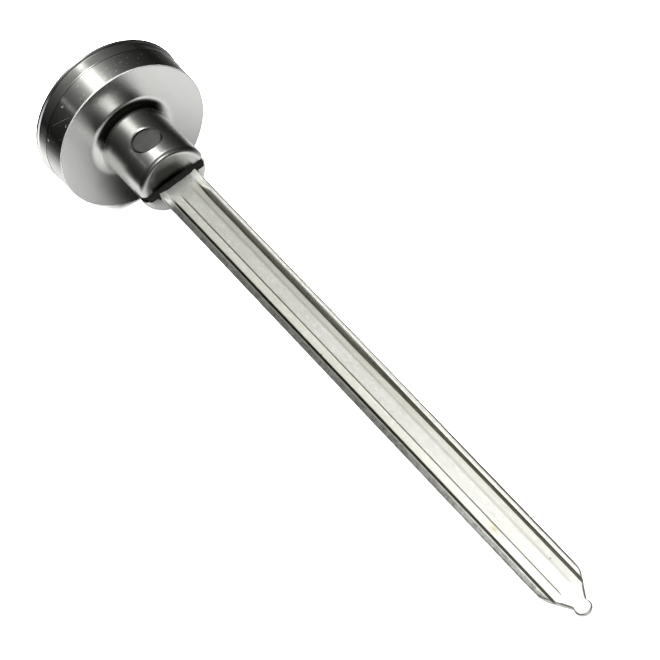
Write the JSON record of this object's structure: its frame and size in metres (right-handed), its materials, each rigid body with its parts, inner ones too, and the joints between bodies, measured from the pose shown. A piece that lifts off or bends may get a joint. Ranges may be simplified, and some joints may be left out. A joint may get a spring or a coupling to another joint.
{
  "type": "darkroom dial thermometer",
  "caption": "Dial thermometer for darkroom baths: round steel case and bezel, slotted boss, and a long flat pressed stem with side grooves and a pointed tip.",
  "frame": {"origin": "centre of the case's flat rear face, on the stem axis", "axes": "+X along the stem from the head to the tip, the dial faces -X; +Z out of the broad face of the stem; +Y across the stem"},
  "size_m": [0.2211, 0.045, 0.045],
  "materials": {
    "turned_steel": "turned satin",
    "polished_steel": "polished",
    "pressed_steel": "bright rolled",
    "plug_steel": "satin",
    "plated_steel": "plated",
    "seal_rubber": "matte",
    "slot_sealant": "matte",
    "crystal_glass": "clear",
    "black_enamel": "satin",
    "dial_white": "satin",
    "print_black": "matte",
    "print_colour": "matte",
    "brass": "turned",
    "bimetal": "rolled strip",
    "guide_plastic": "matte"
  },
  "bodies": {
    "housing": {"case_body": "turned_steel", "bezel_ring": "polished_steel", "bezel_o_ring": "seal_rubber", "crystal": "crystal_glass", "crystal_gasket": "seal_rubber", "dial_spacer_ring": "black_enamel", "dial_plate": "dial_white", "dial_scale_marks": "print_black", "dial_range_arc": "print_colour", "dial_posts": "brass", "dial_screws": "plated_steel", "pointer_stops": "brass", "bearing_bush": "brass", "stem_face_shell": "pressed_steel", "stem_rear_shell": "pressed_steel", "stem_plug_face": "plug_steel", "stem_plug_rear": "plug_steel", "stem_seal": "slot_sealant", "shaft_guides": "guide_plastic", "bimetal_helix": "bimetal", "helix_anchor": "brass"},
    "pointer_movement": {"pointer": "black_enamel", "pointer_hub": "brass", "pointer_cap": "plated_steel", "pointer_shaft": "plated_steel", "shaft_collars": "brass", "helix_collar": "brass"}
  },
  "joints": [
    {"name": "pointer_turn", "type": "hinge", "parent": "housing", "child": "pointer_movement", "pos_m": [0, 0, 0], "axis": [1, 0, 0], "range_deg": [-118, 172], "stiffness_Nm_per_rad": 0.00002, "deforming": ["bimetal_helix"]}
  ]
}
